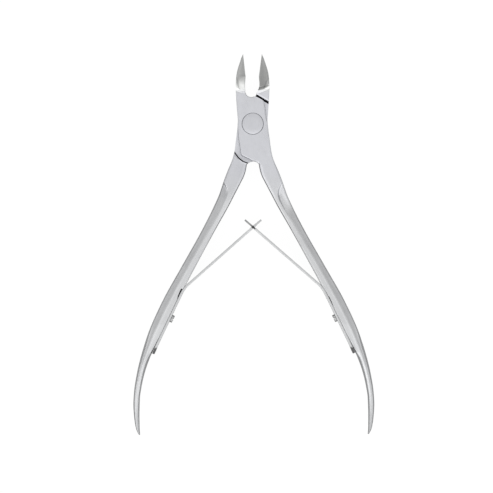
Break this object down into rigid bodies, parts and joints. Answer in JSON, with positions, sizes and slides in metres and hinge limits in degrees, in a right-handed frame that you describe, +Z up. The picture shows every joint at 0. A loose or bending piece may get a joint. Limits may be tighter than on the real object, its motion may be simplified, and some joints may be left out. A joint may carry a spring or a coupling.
{
  "type": "cuticle nipper",
  "caption": "Lap-joint cuticle nipper with two curved handles, pointed ground jaws, a flush pivot and crossed leaf return springs held by slotted screws.",
  "frame": {"origin": "on the pivot axis, at the flat back face of the joint that the tool rests on", "axes": "+Z up along the pivot axis, out of the front face; +Y from the pivot to the jaws; +X towards the front lever's handle"},
  "size_m": [0.0726, 0.1141, 0.006],
  "materials": {
    "satin_steel": "satin ground stainless steel, darker hollow-ground jaw faces",
    "rivet_steel": "satin steel ground flush with the joint",
    "spring_steel": "satin polished spring strip",
    "screw_steel": "bright turned steel"
  },
  "bodies": {
    "back_half": {"back_lever": "satin_steel", "pivot_rivet": "rivet_steel", "left_leaf_foot": "spring_steel", "left_spring_screw": "screw_steel"},
    "front_half": {"front_lever": "satin_steel", "right_leaf_foot": "spring_steel", "right_spring_screw": "screw_steel"},
    "right_arm": {"right_leaf_blade": "spring_steel"},
    "left_arm": {"left_leaf_blade": "spring_steel"}
  },
  "joints": [
    {"name": "jaw_pivot", "type": "hinge", "parent": "back_half", "child": "front_half", "pos_m": [0, 0, 0.003], "axis": [0, 0, -1], "range_deg": [0, 14.9]},
    {"name": "right_leaf_flex", "type": "hinge", "parent": "front_half", "child": "right_arm", "pos_m": [0.01955, -0.04804, 0.003], "axis": [0, 0, -1], "range_deg": [0, 11.18]},
    {"name": "left_leaf_flex", "type": "hinge", "parent": "back_half", "child": "left_arm", "pos_m": [-0.01955, -0.04804, 0.003], "axis": [0, 0, -1], "range_deg": [-11.18, 0]}
  ],
  "couplings": [
    {"joint": "right_leaf_flex", "follows": "jaw_pivot", "ratio": 0.75},
    {"joint": "left_leaf_flex", "follows": "jaw_pivot", "ratio": -0.75}
  ]
}
